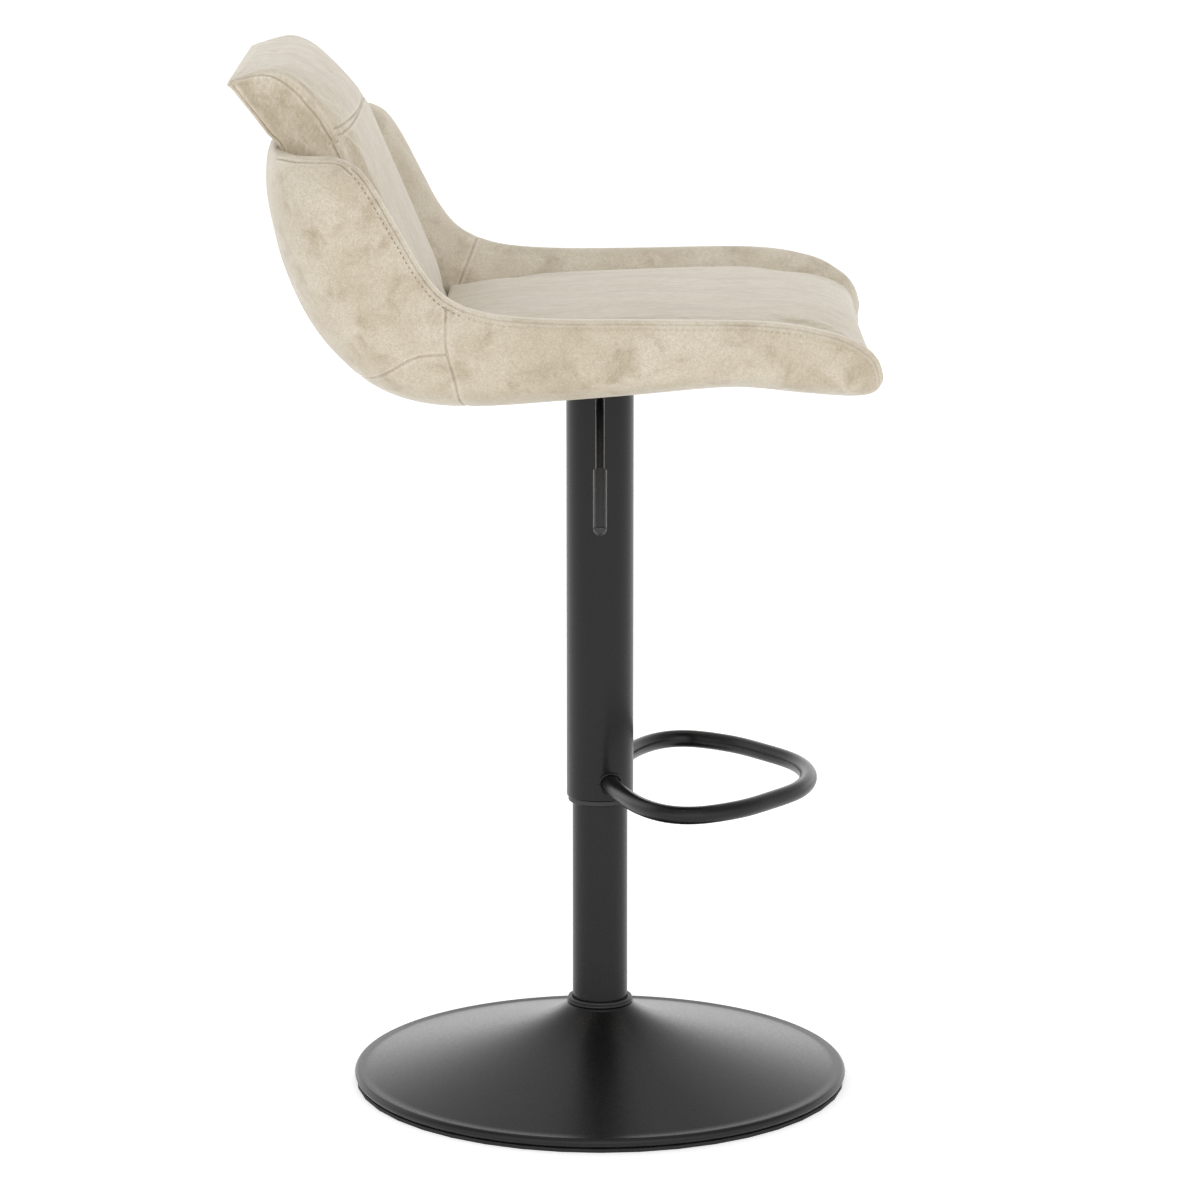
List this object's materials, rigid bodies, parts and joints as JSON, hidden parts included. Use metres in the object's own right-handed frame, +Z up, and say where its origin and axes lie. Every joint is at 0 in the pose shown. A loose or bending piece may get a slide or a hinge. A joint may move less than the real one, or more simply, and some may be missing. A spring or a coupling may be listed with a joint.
{
  "type": "adjustable swivel stool",
  "caption": "Gas-lift swivel stool with a trumpet base, footrest loop and padded bucket seat with low back.",
  "frame": {"origin": "on the column's axis at floor level; the base's floor plate lies 3 mm above it", "axes": "+Z up along the column, -Y the way the sitter faces, -X the sitter's right, where the lever is"},
  "size_m": [0.484, 0.5588, 0.9453],
  "materials": {
    "leatherette": "satin",
    "black_steel": "satin",
    "bare_steel": "satin",
    "zinc_steel": "satin",
    "black_plastic": "matte",
    "black_rubber": "matte",
    "plywood": "matte",
    "black_felt": "matte"
  },
  "bodies": {
    "base": {"base_dish": "black_steel", "base_floor_ring": "black_rubber", "base_weight_plate": "bare_steel", "base_hub": "bare_steel", "base_floor_plate": "black_steel", "hub_bolt_1": "zinc_steel", "hub_bolt_2": "zinc_steel", "hub_bolt_3": "zinc_steel", "hub_bolt_4": "zinc_steel", "pole_collar": "black_plastic", "standing_pole": "black_steel", "pole_end_plate": "bare_steel", "lower_race": "bare_steel", "ball_cage": "zinc_steel", "guide_bush": "black_plastic"},
    "swivel": {"piston_rod": "bare_steel", "piston": "black_plastic", "rod_clip": "zinc_steel", "upper_race": "bare_steel", "stop_buffer": "black_rubber"},
    "carriage": {"gas_cylinder": "black_steel", "cylinder_gland": "bare_steel", "sleeve": "black_steel", "glide_ring": "black_plastic", "sleeve_adaptor": "bare_steel", "footrest_loop": "black_steel", "plate_socket": "bare_steel", "lever_bracket": "black_steel", "lever_pivot_pin": "zinc_steel", "seat_plate": "black_steel", "seat_washer_1": "zinc_steel", "seat_washer_2": "zinc_steel", "seat_washer_3": "zinc_steel", "seat_washer_4": "zinc_steel", "seat_bolt_1": "zinc_steel", "seat_bolt_2": "zinc_steel", "seat_bolt_3": "zinc_steel", "seat_bolt_4": "zinc_steel", "seat_board": "plywood", "back_board": "plywood", "dust_cover": "black_felt", "bucket_shell": "leatherette", "seat_pad": "leatherette", "back_pad": "leatherette", "head_pad": "leatherette"},
    "lever": {"lever_rod": "black_steel", "lever_grip": "black_plastic"},
    "valve": {"valve_pin": "bare_steel"}
  },
  "joints": [
    {"name": "seat_swivel", "type": "hinge", "parent": "base", "child": "swivel", "pos_m": [0, 0, 0.035], "axis": [0, 0, 1], "continuous": true},
    {"name": "height_slide", "type": "slide", "parent": "swivel", "child": "carriage", "axis": [0, 0, 1], "range_m": [-0.18, 0], "stiffness_N_per_m": 200, "springref_m": 0.9},
    {"name": "lever_pivot", "type": "hinge", "parent": "carriage", "child": "lever", "pos_m": [-0.035, 0, 0.655], "axis": [0, 1, 0], "range_deg": [0, 6], "stiffness_Nm_per_rad": 0.4, "springref_deg": -28.65},
    {"name": "valve_press", "type": "slide", "parent": "carriage", "child": "valve", "axis": [0, 0, -1], "range_m": [0, 0.004]}
  ],
  "couplings": [
    {"joint": "valve_press", "follows": "lever_pivot", "m_per_rad": 0.035}
  ]
}
